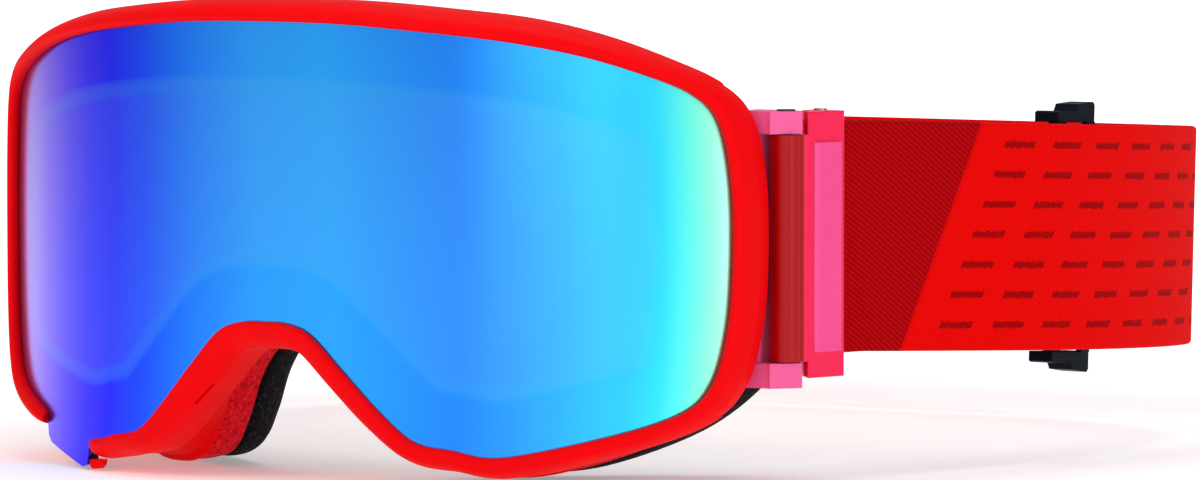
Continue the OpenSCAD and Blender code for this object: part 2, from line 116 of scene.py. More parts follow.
def outward(path, reach):
    """Outward direction at each point of a path, averaged over its neighbours."""
    normals = []
    for i in range(COUNT):
        before, after = path[i - 1], path[(i + 1) % COUNT]
        normals.append(unit((before[1] - after[1], after[0] - before[0])))
    made = []
    for i in range(COUNT):
        near = [normals[(i + k) % COUNT] for k in range(-reach, reach + 1)]
        made.append(unit((sum(n[0] for n in near), sum(n[1] for n in near))))
    return made


FACE_NORMALS = outward(FACE_PATH, STEPS)
NORMALS = outward(PATH, STEPS // 5)
GAP_START = (len(OUTLINE) - 13) * STEPS
GAP_END = (len(OUTLINE) - 14) * STEPS


def ease(t):
    t = min(1.0, max(0.0, t))
    return t * t * (3 - 2 * t)


def mix(a, b, share):
    return tuple(p + (q - p) * share for p, q in zip(a, b))


def lens_y(x, depth=0.0):
    return LENS_R - FRONT_DEPTH - math.sqrt((LENS_R - depth) ** 2 - x * x)


def side_share(x):
    return ease((abs(x) - 40) / 42)


def nose_share(p):
    return 1 / (1 + (abs(p[0]) / 30) ** 6) if p[1] < 0 else 0.0


def rim_depth(x):
    return RIM_DEPTH_MID + (RIM_DEPTH_SIDE - RIM_DEPTH_MID) * side_share(x)


def front_point(i, u, d):
    p, n = PATH[i % COUNT], NORMALS[i % COUNT]
    x, z = p[0] + n[0] * u, p[1] + n[1] * u
    return (x, lens_y(x) + d, z)


def inside_point(i, u, depth):
    x, _, z = front_point(i, u, 0)
    return (x, lens_y(x, depth), z)


def face_point(i, u, d):
    p, n = FACE_PATH[i % COUNT], FACE_NORMALS[i % COUNT]
    x, z = p[0] + n[0] * u, p[1] + n[1] * u
    step = NOSE_FORWARD / (1 + (abs(p[0]) / 42) ** 6) if p[1] < 0 else 0.0
    return (x, FACE_R - math.sqrt(FACE_R ** 2 - x * x) + d - step, z)


# ---- Meshes ----
def new_object(name, points, faces, sharp=40, uvs=None):
    mesh = bpy.data.meshes.new(name)
    mesh.from_pydata([tuple(c * MM for c in p) for p in points], [], faces)
    mesh.validate()
    if uvs:
        layer = mesh.uv_layers.new(name="strap")
        for loop in mesh.loops:
            layer.data[loop.index].uv = uvs[loop.vertex_index]
    mesh.polygons.foreach_set("use_smooth", [True] * len(mesh.polygons))
    mesh.set_sharp_from_angle(angle=math.radians(sharp))
    obj = bpy.data.objects.new(name, mesh)
    bpy.context.scene.collection.objects.link(obj)
    return obj


def loft(name, sections, closed, sharp=40, uvs=None):
    """Skins a row of closed sections, with capped ends unless the row is closed."""
    rings, size = len(sections), len(sections[0])
    faces = [((i * size + j), (i * size + (j + 1) % size),
              (((i + 1) % rings) * size + (j + 1) % size), (((i + 1) % rings) * size + j))
             for i in range(rings if closed else rings - 1) for j in range(size)]
    if not closed:
        faces += [tuple(range(size - 1, -1, -1)),
                  tuple((rings - 1) * size + j for j in range(size))]
    points = [p for section in sections for p in section]
    flat = [uv for row in uvs for uv in row] if uvs else None
    obj = new_object(name, points, faces, sharp, flat)
    recalculate(obj)
    return obj


def recalculate(obj):
    bm = bmesh.new()
    bm.from_mesh(obj.data)
    bmesh.ops.recalc_face_normals(bm, faces=bm.faces)
    bm.to_mesh(obj.data)
    bm.free()


def apply_modifiers(obj):
    evaluated = obj.evaluated_get(bpy.context.evaluated_depsgraph_get())
    mesh = bpy.data.meshes.new_from_object(evaluated)
    obj.modifiers.clear()
    obj.data = mesh


def rounded(points, radius, steps=4):
    """A closed outline with every corner cut round."""
    made = []
    n = len(points)
    for i in range(n):
        a, b, c = points[i - 1], points[i], points[(i + 1) % n]
        r = min(radius, math.dist(a, b) * 0.45, math.dist(b, c) * 0.45)
        p = mix(b, a, r / math.dist(a, b))
        q = mix(b, c, r / math.dist(b, c))
        for k in range(steps + 1):
            t = k / steps
            made.append(mix(mix(p, b, t), mix(b, q, t), t))
    return made


# ---- Materials ----
class Shader:
    """A node material with a Principled surface and short calls for its nodes."""

    def __init__(self, name, **values):
        self.material = bpy.data.materials.new(name)
        self.material.use_nodes = True
        self.tree = self.material.node_tree
        self.surface = next(n for n in self.tree.nodes if n.type == "BSDF_PRINCIPLED")
        self.place = self.tree.nodes.new("ShaderNodeTexCoord").outputs["Object"]
        for key, value in values.items():
            self.set(key.replace("_", " "), value)

    def set(self, socket, value):
        self.join(value, self.surface.inputs[socket])

    def join(self, value, socket):
        if isinstance(value, bpy.types.NodeSocket):
            self.tree.links.new(value, socket)
        elif isinstance(value, tuple) and len(value) == 3 and len(socket.default_value) == 4:
            socket.default_value = (*value, 1)
        else:
            socket.default_value = value

    def math(self, operation, *values):
        node = self.tree.nodes.new("ShaderNodeMath")
        node.operation = operation
        for value, socket in zip(values, node.inputs):
            self.join(value, socket)
        return node.outputs[0]

    def split(self, vector):
        node = self.tree.nodes.new("ShaderNodeSeparateXYZ")
        self.join(vector, node.inputs[0])
        return node.outputs

    def noise(self, scale, detail=3.0, place=None, roughness=0.55):
        node = self.tree.nodes.new("ShaderNodeTexNoise")
        self.join(place or self.place, node.inputs["Vector"])
        node.inputs["Scale"].default_value = scale
        node.inputs["Detail"].default_value = detail
        node.inputs["Roughness"].default_value = roughness
        return node.outputs["Fac"]

    def cells(self, scale, place=None):
        node = self.tree.nodes.new("ShaderNodeTexVoronoi")
        self.join(place or self.place, node.inputs["Vector"])
        node.inputs["Scale"].default_value = scale
        return node.outputs["Distance"]

    def ramp(self, fac, stops):
        node = self.tree.nodes.new("ShaderNodeValToRGB")
        self.join(fac, node.inputs["Fac"])
        ramp = node.color_ramp
        while len(ramp.elements) < len(stops):
            ramp.elements.new(0.5)
        for element, (position, colour) in zip(ramp.elements, stops):
            element.position = position
            element.color = (*colour, 1)
        return node.outputs["Color"]

    def blend(self, fac, a, b):
        node = self.tree.nodes.new("ShaderNodeMix")
        node.data_type = "RGBA"
        self.join(fac, node.inputs[0])
        self.join(a, node.inputs[6])
        self.join(b, node.inputs[7])
        return node.outputs[2]

    def bump(self, height, distance, strength=1.0, under=None):
        node = self.tree.nodes.new("ShaderNodeBump")
        node.inputs["Strength"].default_value = strength
        node.inputs["Distance"].default_value = distance
        self.join(height, node.inputs["Height"])
        if under:
            self.join(under, node.inputs["Normal"])
        self.join(node.outputs["Normal"], self.surface.inputs["Normal"])
        return node.outputs["Normal"]

    def edges(self, radius):
        node = self.tree.nodes.new("ShaderNodeBevel")
        node.samples = 6
        node.inputs["Radius"].default_value = radius
        return node.outputs["Normal"]


def plastic(name, colour, roughness=0.42, coat=0.03, grain=1600, depth=0.00003, edge=None,
            shine=0.05):
    s = Shader(name, Roughness=roughness, Coat_Weight=coat, Coat_Roughness=0.3)
    s.set("Specular IOR Level", shine)
    dark = tuple(c * 0.86 for c in colour)
    s.set("Base Color", s.blend(s.noise(55, 4), dark, colour))
    s.set("Roughness", s.math("MULTIPLY_ADD", s.noise(260, 4), 0.16, roughness - 0.08))
    s.bump(s.noise(grain, 2), depth, 0.5, under=s.edges(edge) if edge else None)
    return s


def foam(name, colour, speck, dark, scale=1050, depth=0.0004):
    s = Shader(name, Roughness=0.95, Sheen_Weight=0.03, Sheen_Roughness=0.5)
    s.set("Specular IOR Level", 0.08)
    pores = s.cells(scale)
    specks = s.ramp(s.noise(scale * 0.9, 2), [(0.0, dark), (0.43, colour), (0.55, colour),
                                             (0.66, speck), (1.0, speck)])
    s.set("Base Color", s.blend(s.math("MULTIPLY", s.math("GREATER_THAN", pores, 0.62), 0.7),
                                specks, dark))
    s.bump(s.math("SUBTRACT", s.noise(scale * 1.6, 3), s.math("MULTIPLY", pores, 0.6)), depth, 0.8)
    return s


# Woven dashes, in metres: half the spacing of rows, half the height of a mark, where the highest
# row lies, the gap after the seam, the repeat along a row and the length of a dash
ROW_HALF, MARK_HALF, TOP_ROW = 0.0029, 0.00062, 0.0181
DASH_START, DASH_REPEAT, DASH_LENGTH = 0.0085, 0.0145, 0.0088


def strap_weave(name, colour, dark, contrast, dashes):
    """Elastic webbing: slanting twill, a darker selvedge and, on the main strap, woven dashes."""
    s = Shader(name, Roughness=0.9, Sheen_Weight=0.02, Sheen_Roughness=0.45)
    s.set("Specular IOR Level", 0.02)
    uv = s.tree.nodes.new("ShaderNodeUVMap")
    uv.uv_map = "strap"
    along, height, _ = s.split(uv.outputs["UV"])
    slant = s.math("MULTIPLY_ADD", along, 0.62, height)
    twill = s.math("SINE", s.math("MULTIPLY", slant, 2 * math.pi / 0.00105))
    cross = s.math("SINE", s.math("MULTIPLY", along, 2 * math.pi / 0.00085))
    picks = s.math("SINE", s.math("MULTIPLY", height, 2 * math.pi / 0.0006))
    threads = s.math("MULTIPLY_ADD", s.math("MULTIPLY", cross, picks), 0.35,
                     s.math("MULTIPLY", twill, 0.5))
    threads = s.math("ADD", threads, s.math("MULTIPLY", s.noise(1900, 2), 0.9))
    share = s.math("MULTIPLY_ADD", threads, contrast, 0.5 - 0.45 * contrast)
    base = s.blend(share, dark, colour)
    rim = s.math("LESS_THAN", s.math("SUBTRACT", STRAP_HIGH * MM, height), 0.0007)
    rim = s.math("MAXIMUM", rim, s.math("LESS_THAN", s.math("SUBTRACT", height, STRAP_LOW * MM),
                                        0.0007))
    base = s.blend(s.math("MULTIPLY", rim, 0.25), base, dark)
    relief = threads
    if dashes:
        seam = s.math("MULTIPLY_ADD", s.math("SUBTRACT", height, STRAP_LOW * MM),
                      (SEAM_HIGH - SEAM_LOW) / (STRAP_HIGH - STRAP_LOW), SEAM_LOW * MM)
        past = s.math("SUBTRACT", along, seam)
        wobble = s.math("MULTIPLY", s.math("SUBTRACT", s.noise(2400, 1), 0.5), 0.0012)
        row = s.math("PINGPONG", s.math("SUBTRACT", s.math("ADD", height, wobble),
                                        TOP_ROW - ROW_HALF), ROW_HALF)
        in_row = s.math("GREATER_THAN", row, ROW_HALF - MARK_HALF)
        cycle = s.math("MODULO", s.math("SUBTRACT", past, DASH_START), DASH_REPEAT)
        in_dash = s.math("LESS_THAN", s.math("ADD", cycle, wobble), DASH_LENGTH)
        started = s.math("GREATER_THAN", past, DASH_START)
        field = s.math("MULTIPLY", s.math("LESS_THAN", height, 0.0195),
                       s.math("GREATER_THAN", height, -0.0180))
        mark = s.math("MULTIPLY", s.math("MULTIPLY", in_row, in_dash),
                      s.math("MULTIPLY", started, field))
        base = s.blend(s.math("MULTIPLY", mark, 0.8), base, (0.24, 0.001, 0.002))
        # Darker over the first 0.9 mm past the seam, where the dark and bright webbing meet
        fold = s.math("LESS_THAN", past, 0.0009)
        base = s.blend(s.math("MULTIPLY", fold, 0.6), base, dark)
        relief = s.math("ADD", threads, s.math("MULTIPLY", mark, 1.2))
    s.set("Base Color", base)
    s.bump(relief, 0.00012, 0.6)
    return s


# ---- Rim ----
def rim_profile():
    front = [(0, 0.05), (0.05, -0.6 * RIM_PROUD), (0.7, -RIM_PROUD), (1.7, 0.1 - RIM_PROUD),
             (2.8, -0.7), (3.6, 1.2), (RIM_W, 3.6)]
    points = [front[0]]
    padded = [front[0]] + front + [(RIM_W, 6.0)]
    for k in range(1, len(padded) - 2):
        points += [catmull(padded[k - 1], padded[k], padded[k + 1], padded[k + 2], j / 4)
                   for j in range(1, 5)]
    return points


RIM_PROFILE = rim_profile()


def rim_section(i, shrink):
    p = PATH[i % COUNT]
    stretch = 1 - SIDE_NARROWING * side_share(p[0]) \
        + NOSE_WIDENING * nose_share(p) / (RIM_W - RIM_INNER)
    back = rim_depth(p[0])
    profile = RIM_PROFILE + [(RIM_W, back - 0.5), (RIM_W - 0.5, back), (RIM_INNER, back),
                             (RIM_INNER, 0.05)]
    middle = (2.2, 3.5)
    made = []
    for u, d in profile:
        u, d = mix(middle, (u, d), shrink)
        if u > RIM_INNER:
            u = RIM_INNER + (u - RIM_INNER) * stretch
        if d < 4:
            d -= SIDE_FLANGE * side_share(p[0]) * u
        made.append(front_point(i, u, d))
    return made


def make_rim():
    steps = COUNT - (GAP_START - GAP_END)
    soft = 6
    sections = []
    for k in range(steps + 1):
        edge = min(k, steps - k)
        shrink = 1.0 if edge >= soft else 0.72 + 0.28 * math.sqrt(1 - (1 - edge / soft) ** 2)
        sections.append(rim_section(GAP_START + k, shrink))
    obj = loft("rim", sections, False, 35)
    cut(obj, nose_slits())
    return obj


def nose_slits():
    """Thin slanting bars that cut a breathing slit in each nose wall of the rim."""
    points, faces = [], []
    for side in (-1, 1):
        outline = rounded([(-3, -0.4), (3, -0.4), (3, 0.4), (-3, 0.4)], 0.3, 3)
        c, n, first = math.sqrt(0.5), len(outline), len(points)
        for w in (-1.6, 1.6):
            points += [(side * (-16.1 + (u * c + w * c)), 3.4 - FRONT_DEPTH + v,
                        -29.4 + (u * c - w * c)) for u, v in outline]
        faces += [(first + j, first + (j + 1) % n, first + n + (j + 1) % n, first + n + j)
                  for j in range(n)]
        faces += [tuple(first + j for j in range(n)), tuple(first + n + j for j in range(n))]
    obj = new_object("slit_cutter", points, faces)
    recalculate(obj)
    return obj


# ---- Face frame, with its vent slots ----
def frame_section(i):
    p = PATH[i % COUNT]
    back, step = rim_depth(p[0]), RIM_INNER - FRAME_GAP
    shoulder = step + (RIM_W - 1.3) * (1 - side_share(p[0])) + NOSE_WIDENING * nose_share(p)
    a = front_point(i, shoulder, back + FRAME_GAP)
    b = face_point(i, 0, SEAT)
    flare = unit((b[0] - p[0] * 0.55, b[2] - p[1] * 0.55))
    wall = []
    for t, proud in ((0.02, 0), (0.12, -0.15), (0.3, -0.35), (0.5, -0.45), (0.68, -0.4),
                     (0.74, -0.3), (0.765, 0.25), (0.79, 0.55), (0.84, 0.65), (0.93, 0.6),
                     (0.98, 0.35), (1, 0)):
        q = mix(a, b, t)
        wall.append((q[0] + flare[0] * proud, q[1], q[2] + flare[1] * proud))
    return [inside_point(i, step, OUTER_LENS_T + 0.25), front_point(i, step, back + FRAME_GAP)] \
        + [a] + wall \
        + [face_point(i, -SEAT_W, SEAT), face_point(i, -SEAT_W, SEAT - FRAME_WALL),
           face_point(i, -FRAME_WALL, SEAT - FRAME_WALL),
           front_point(i, step - FRAME_WALL, back + FRAME_WALL),
           inside_point(i, step - FRAME_WALL, OUTER_LENS_T + 0.25)]


def slot_cutter(places):
    """Rounded boxes: (middle, size, turn in degrees) each."""
    points, faces = [], []
    for (cx, cy, cz), (w, d, h), turn in places:
        outline = rounded([(-w / 2, -d / 2), (w / 2, -d / 2), (w / 2, d / 2), (-w / 2, d / 2)],
                          d * 0.45, 5)
        c, s = math.cos(math.radians(turn)), math.sin(math.radians(turn))
        first, n = len(points), len(outline)
        for z in (-h / 2, h / 2):
            points += [(cx + x * c - y * s, cy + x * s + y * c, cz + z) for x, y in outline]
        faces += [(first + j, first + (j + 1) % n, first + n + (j + 1) % n, first + n + j)
                  for j in range(n)]
        faces += [tuple(first + j for j in range(n - 1, -1, -1)),
                  tuple(first + n + j for j in range(n))]
    return new_object("cutter", points, faces)


def cut(obj, cutter):
    made = obj.modifiers.new("cut", "BOOLEAN")
    made.object = cutter
    made.solver = "EXACT"
    apply_modifiers(obj)
    bpy.data.objects.remove(cutter)
    obj.data.set_sharp_from_angle(angle=math.radians(35))


def make_frame():
    obj = loft("face_frame_skin", [frame_section(i) for i in range(0, COUNT, 2)], True, 35)
    places = [((x, lens_y(x) + rim_depth(x) + 6.5, 36), (14, 4.5, 30), x * 0.5)
              for x in (-52, -31, -10.5, 10.5, 31, 52)]
    places += [((x, lens_y(x) + rim_depth(x) + 7, -36), (12, 4.5, 24), x * 0.5)
               for x in (-58, 58)]
    cut(obj, slot_cutter(places))
    return obj


# ---- Outer lens ----
def upright_span(outline, x):
    """Lowest and highest place where an upright line at x meets a closed outline."""
    found = []
    for (x0, z0), (x1, z1) in zip(outline, outline[1:] + outline[:1]):
        if (x0 - x) * (x1 - x) <= 0 and x0 != x1:
            found.append(z0 + (z1 - z0) * (x - x0) / (x1 - x0))
    return (min(found), max(found)) if found else None


def make_lens():
    outline = [(p[0] + n[0] * LENS_UNDER_RIM, p[1] + n[1] * LENS_UNDER_RIM)
               for p, n in zip(PATH, NORMALS)]
    reach = max(p[0] for p in outline) - 0.001
    columns, rows = 560, 40
    tab_x = [p[0] for p in TAB]
    xs = sorted([-reach * math.cos(math.pi * k / columns) for k in range(columns + 1)]
                + [min(tab_x) + 0.005, max(tab_x) - 0.005] + tab_x[1:-1])
    front, rear = [], []
    for x in xs:
        low, high = upright_span(outline, x)
        tab = upright_span(TAB, x)
        if tab and tab[0] < low:
            low = tab[0]
        for r in range(rows + 1):
            z = low + (high - low) * r / rows
            front.append((x, lens_y(x, 0.1), z))
            rear.append((x, lens_y(x, 0.1 + OUTER_LENS_T), z))
    size, n = rows + 1, len(front)
    faces = []
    for i in range(len(xs) - 1):
        for j in range(rows):
            a, b = i * size + j, (i + 1) * size + j
            faces.append((a, b, b + 1, a + 1))
            faces.append((n + a, n + a + 1, n + b + 1, n + b))
        for j in (0, rows):
            a, b = i * size + j, (i + 1) * size + j
            faces.append((a, n + a, n + b, b) if j == 0 else (a, b, n + b, n + a))
    for i in (0, len(xs) - 1):
        for j in range(rows):
            a = i * size + j
            faces.append((a, a + 1, n + a + 1, n + a) if i == 0 else (a, n + a, n + a + 1, a + 1))
    obj = new_object("mirror_lens", front + rear, faces, 30)
    recalculate(obj)
    inset = obj.data.attributes.new("inset", "FLOAT", "POINT")
    edge = outline[::4]
    inset.data.foreach_set("value", [
        min(16.0, min(math.hypot(x - ex, z - ez) for ex, ez in edge)) for x, _, z in front] * 2)
    return obj


# ---- Foam rings ----
def ring(name, profile, radius):
    outline = rounded(profile, radius, 5)
    return loft(name, [[face_point(i, u, d) for u, d in outline] for i in range(0, COUNT, 2)],
                True, 50)


# ---- Strap ----
def along(a):
    return (math.sin(math.radians(a)), math.cos(math.radians(a)))


def outwards(a):
    return (math.cos(math.radians(a)), -math.sin(math.radians(a)))


def moved(p, v, d):
    return (p[0] + v[0] * d, p[1] + v[1] * d)


SIDE_END = STRAIGHT_END + SIDE_R * math.radians(SIDE_TURN)
CORNER_END = SIDE_END + CORNER_R * math.radians(90 + SPLAY - SIDE_TURN)
SIDE_CENTRE = moved(moved(HINGE, along(SPLAY), STRAIGHT_END), outwards(SPLAY), -SIDE_R)
CORNER_HEADING = SPLAY - SIDE_TURN
CORNER_CENTRE = moved(SIDE_CENTRE, outwards(CORNER_HEADING), SIDE_R - CORNER_R)
BACK_END = CORNER_END + CORNER_CENTRE[0]


def strap_point(s, t):
    """Place on the wearer's left half of the strap, s along it and t outwards."""
    if s < STRAIGHT_END:
        return moved(moved(HINGE, along(SPLAY), s), outwards(SPLAY), t)
    if s < SIDE_END:
        return moved(SIDE_CENTRE, outwards(SPLAY - math.degrees((s - STRAIGHT_END) / SIDE_R)),
                     SIDE_R + t)
    if s < CORNER_END:
        return moved(CORNER_CENTRE,
                     outwards(CORNER_HEADING - math.degrees((s - SIDE_END) / CORNER_R)),
                     CORNER_R + t)
    return (CORNER_CENTRE[0] - (s - CORNER_END), CORNER_CENTRE[1] + CORNER_R + t)


def sloped(x, y, z):
    """The loop behind the swivel plates slopes down from TILT_START, easing in on both sides."""
    share = ease((y - (TILT_START - 5)) / 10)
    a = -TILT * share
    v = y - TILT_START
    return (x, TILT_START + v * math.cos(a) - z * math.sin(a), v * math.sin(a) + z * math.cos(a))


def seam(z):
    return SEAM_LOW + (z - STRAP_LOW) / (STRAP_HIGH - STRAP_LOW) * (SEAM_HIGH - SEAM_LOW)


def band_section(thick=STRAP_T):
    """Cross-section of the webbing: (outwards, height), rounded at both edges."""
    half, edge = thick / 2, thick / 2
    rows = 22
    top, bottom = STRAP_HIGH - edge, STRAP_LOW + edge
    heights = [bottom + (top - bottom) * k / rows for k in range(rows + 1)]
    section = [(half, z) for z in heights]
    section += [(half * math.cos(math.radians(a)), top + edge * math.sin(math.radians(a)))
                for a in (30, 60, 90, 120, 150)]
    section += [(-half, z) for z in reversed(heights)]
    section += [(half * math.cos(math.radians(a)), bottom + edge * math.sin(math.radians(a)))
                for a in (210, 240, 270, 300, 330)]
    return section


SECTION = band_section()


def make_back_strap():
    sections, uvs = [], []
    steps = 300
    for k in range(steps + 1):
        row, uv = [], []
        for t, z in SECTION:
            start = seam(z)
            s = start + (2 * BACK_END - 2 * start) * k / steps
            half = min(s, 2 * BACK_END - s)
            x, y = strap_point(half, BAND_MID + t)
            row.append(sloped(x if s <= BACK_END else -x, y, z))
            uv.append((half * MM, z * MM))
        sections.append(row)
        uvs.append(uv)
    return loft("strap_main", sections, False, 45, uvs)


def front_line():
    """The dark strap's middle line: the tail, the fold round the bar, the front up to s = 20."""
    line = []
    s = TAIL_END
    while s > BAR_PLACE[1]:
        line.append(("band", s, TAIL_MID))
        s -= 2.0
    radius = (BAND_MID - TAIL_MID) / 2
    for k in range(13):
        a = math.radians(180 + 15 * k)
        line.append(("fold", BAR_PLACE[1] + radius * math.sin(a),
                     BAR_PLACE[0] + radius * math.cos(a),
                     a))
    line += [("band", s, BAND_MID) for s in (12.5, 14, 16, 18, 20)]
    return line


def make_front_strap(name, side):
    sections, uvs = [], []
    run = 0.0
    line = front_line()
    last = None
    for entry in line:
        row, uv = [], []
        if last:
            run += math.dist(last[1:3], entry[1:3])
        last = entry
        for t, z in SECTION:
            if entry[0] == "band":
                flip = -1 if entry[2] == TAIL_MID else 1
                x, y = strap_point(entry[1], entry[2] + flip * t)
            else:
                a = entry[3]
                x, y = strap_point(entry[1] + t * math.sin(a), entry[2] + t * math.cos(a))
            row.append(sloped(x * side, y, z))
            uv.append((run * MM, z * MM))
        sections.append(row)
        uvs.append(uv)
    steps = 14
    for k in range(1, steps + 1):
        row, uv = [], []
        for t, z in SECTION:
            s = 20 + (seam(z) - 0.05 - 20) * k / steps
            x, y = strap_point(s, BAND_MID + t)
            row.append(sloped(x * side, y, z))
            uv.append(((run + s - 20) * MM, z * MM))
        sections.append(row)
        uvs.append(uv)
    return loft(name, sections, False, 45, uvs)


# ---- Finishes ----
rim_red = plastic("rim_red", (0.92, 0.001, 0.003), roughness=0.5, coat=0.0, shine=0.04)
frame_red = plastic("frame_red", (0.88, 0.001, 0.003), roughness=0.6, coat=0.0, shine=0.03)
# Red plastic with a painted reflection: the pink in this colour stands for the bluish side light
# mirrored off the arm
arm_red_and_reflection = plastic("arm_red_and_reflection", (0.95, 0.11, 0.31), roughness=0.42, coat=0.2, edge=0.0004,
                  shine=0.15)
plate_red = plastic("plate_red", (0.93, 0.010, 0.075), roughness=0.34, coat=0.2, edge=0.0005,
                    shine=0.12)
# Painted shade: the plate turns a darker red within 3.5 mm of the hinge pin, on the shaded barrel
place_x, place_y, _ = plate_red.split(plate_red.place)
from_x = plate_red.math("SUBTRACT", plate_red.math("ABSOLUTE", place_x), HINGE[0] * MM)
from_y = plate_red.math("SUBTRACT", place_y, HINGE[1] * MM)
reach = plate_red.math("SQRT", plate_red.math("ADD", plate_red.math("MULTIPLY", from_x, from_x),
                                              plate_red.math("MULTIPLY", from_y, from_y)))
plate_red.set("Base Color", plate_red.blend(plate_red.math("LESS_THAN", reach, 0.0035),
                                            (0.93, 0.010, 0.075), (0.42, 0.0, 0.001)))
# Red plastic with a painted reflection: the pink in this colour stands for the bluish side light
# mirrored off the panel
panel_red = plastic("panel_red", (0.95, 0.075, 0.26), roughness=0.27, coat=0.35, edge=0.0003)
slider_grey = plastic("slider_grey", (0.003, 0.006, 0.011), roughness=0.4, coat=0.02, edge=0.0003)
gasket = plastic("gasket_rubber", (0.03, 0.035, 0.04), roughness=0.6, coat=0, edge=0.0003)
silicone = plastic("silicone", (0.02, 0.02, 0.022), roughness=0.35, coat=0.2)

dark_strap = strap_weave("strap_dark", (0.56, 0.001, 0.004), (0.25, 0.0003, 0.001), 0.78, False)
main_strap = strap_weave("strap_red", (0.95, 0.002, 0.001), (0.66, 0.001, 0.001), 0.3, True)

base_foam = foam("base_foam", (0.86, 0.002, 0.014), (0.92, 0.03, 0.07), (0.45, 0.0, 0.003))
soft_foam = foam("soft_foam", (0.004, 0.006, 0.008), (0.025, 0.035, 0.038), (0.001, 0.002, 0.002))
fleece = foam("fleece", (0.012, 0.013, 0.015), (0.04, 0.042, 0.048), (0.003, 0.003, 0.004), 1700,
              0.0003)
vent_foam = foam("vent_foam", (0.010, 0.012, 0.014), (0.05, 0.055, 0.06), (0.002, 0.002, 0.002),
                 800)
spacer = foam("spacer_foam", (0.02, 0.022, 0.026), (0.05, 0.05, 0.06), (0.004, 0.004, 0.005), 1300)


def metal(name, colour, roughness):
    s = Shader(name, Metallic=1.0)
    lines = s.noise(900, 3)
    s.set("Base Color", s.blend(lines, tuple(c * 0.7 for c in colour), colour))
    s.set("Roughness", s.math("MULTIPLY_ADD", lines, 0.2, roughness - 0.1))
    s.bump(lines, 0.00002, 0.3)
    return s


pin_steel = metal("pin_steel", (0.06, 0.06, 0.065), 0.4)
bar_steel = metal("bar_steel", (0.55, 0.56, 0.58), 0.3)


def mirror():
    """Blue mirror coating from lilac to pale green, with the second lens faint behind it."""
    s = Shader("mirror_lens", Roughness=0.22, Metallic=0.97, Coat_Weight=0.02, Coat_Roughness=0.06)
    x, _, z = s.split(s.place)
    sway = s.math("MULTIPLY", s.math("SUBTRACT", s.noise(9, 1), 0.5), 0.008)
    bow = s.math("MULTIPLY", s.math("MULTIPLY", z, z), 1.6)
    across = s.math("DIVIDE", s.math("ADD", s.math("ADD", s.math("ADD", x, bow), sway), 0.083),
                    0.166)
    colours = s.ramp(across, [
        (0.03, (0.42, 0.28, 0.98)), (0.08, (0.33, 0.18, 1.0)), (0.12, (0.20, 0.10, 1.0)),
        (0.17, (0.09, 0.04, 1.0)), (0.22, (0.03, 0.012, 1.0)), (0.27, (0.01, 0.012, 0.99)),
        (0.33, (0.01, 0.075, 0.97)), (0.41, (0.018, 0.22, 0.97)), (0.50, (0.03, 0.35, 0.98)),
        (0.60, (0.028, 0.39, 1.0)), (0.74, (0.02, 0.25, 0.95)), (0.80, (0.026, 0.30, 0.97)),
        (0.85, (0.03, 0.39, 0.98)), (0.91, (0.035, 0.57, 1.0)), (0.94, (0.04, 0.78, 1.0)),
        (0.96, (0.12, 0.97, 0.84)), (0.98, (0.30, 1.0, 0.66)), (0.99, (0.44, 0.98, 0.7))])
    depth = s.tree.nodes.new("ShaderNodeAttribute")
    depth.attribute_name = "inset"
    inset = depth.outputs["Fac"]

    def rise(start, end):
        node = s.tree.nodes.new("ShaderNodeMapRange")
        node.interpolation_type = "SMOOTHSTEP"
        s.join(inset, node.inputs["Value"])
        node.inputs["From Min"].default_value = start
        node.inputs["From Max"].default_value = end
        return node.outputs["Result"]

    hazy = s.blend(0.06, colours, (0.30, 0.62, 0.85))
    band = s.math("SUBTRACT", rise(10.6, 11.4), rise(13.6, 14.6))
    base = s.blend(rise(10.8, 12.5), colours, hazy)
    base = s.blend(s.math("MULTIPLY", band, 0.08), base, (0.0, 0.45, 0.75))
    s.set("Base Color", base)
    s.bump(s.noise(45, 1), 0.00002, 0.2)
    return s


clear_lens = Shader("clear_lens", Roughness=0.05, Coat_Weight=0.5)
clear_lens.set("Base Color", clear_lens.blend(clear_lens.noise(30, 2), (0.5, 0.62, 0.75),
                                              (0.62, 0.74, 0.86)))
clear_lens.set("Alpha", 0.35)
mirror_lens = mirror()


def dress(obj, shader):
    obj.data.materials.clear()
    obj.data.materials.append(shader.material)
    return obj


def repaint(node, shader):
    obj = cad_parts[node]
    for place in obj.material_slots:
        place.material = shader.material


# ---- New pieces ----
rim = dress(make_rim(), rim_red)
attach(rim, "goggle_frame")
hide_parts("front_rim")

skin = dress(make_frame(), frame_red)
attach(skin, "goggle_frame")
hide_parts("face_frame")

lens = dress(make_lens(), mirror_lens)
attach(lens, "goggle_frame")
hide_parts("outer_lens")

rings = [
    ("foam_firm", [(0, SEAT), (0.3, SEAT + 5), (0, SOFT_FRONT), (-8.2, SOFT_FRONT),
                   (-SEAT_W, SEAT)],
     1.2, base_foam, "base_foam", "foam_base", 1.0),
    ("foam_soft", [(0, SOFT_FRONT), (0.4, SOFT_FRONT + 4), (0.2, -FLEECE_T - 3.5),
                   (-1.2, -FLEECE_T), (-7.2, -FLEECE_T), (-9.4, -FLEECE_T - 3),
                   (-9.4, SOFT_FRONT + 3), (-8.2, SOFT_FRONT)],
     2.2, soft_foam, "soft_foam", "foam_cushion", 0.9),
    ("fleece_face", [(-1.2, -FLEECE_T), (-2.4, 0), (-6, 0), (-7.2, -FLEECE_T)], 0.8, fleece,
     "fleece", "face_fleece", 1.0)]
for name, profile, radius, shader, slot_name, node, fill in rings:
    piece = dress(ring(name, profile, radius), shader)
    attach(piece, "goggle_frame")
    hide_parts(node)

main = dress(make_back_strap(), main_strap)
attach(main, "goggle_frame")
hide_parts("strap_back")

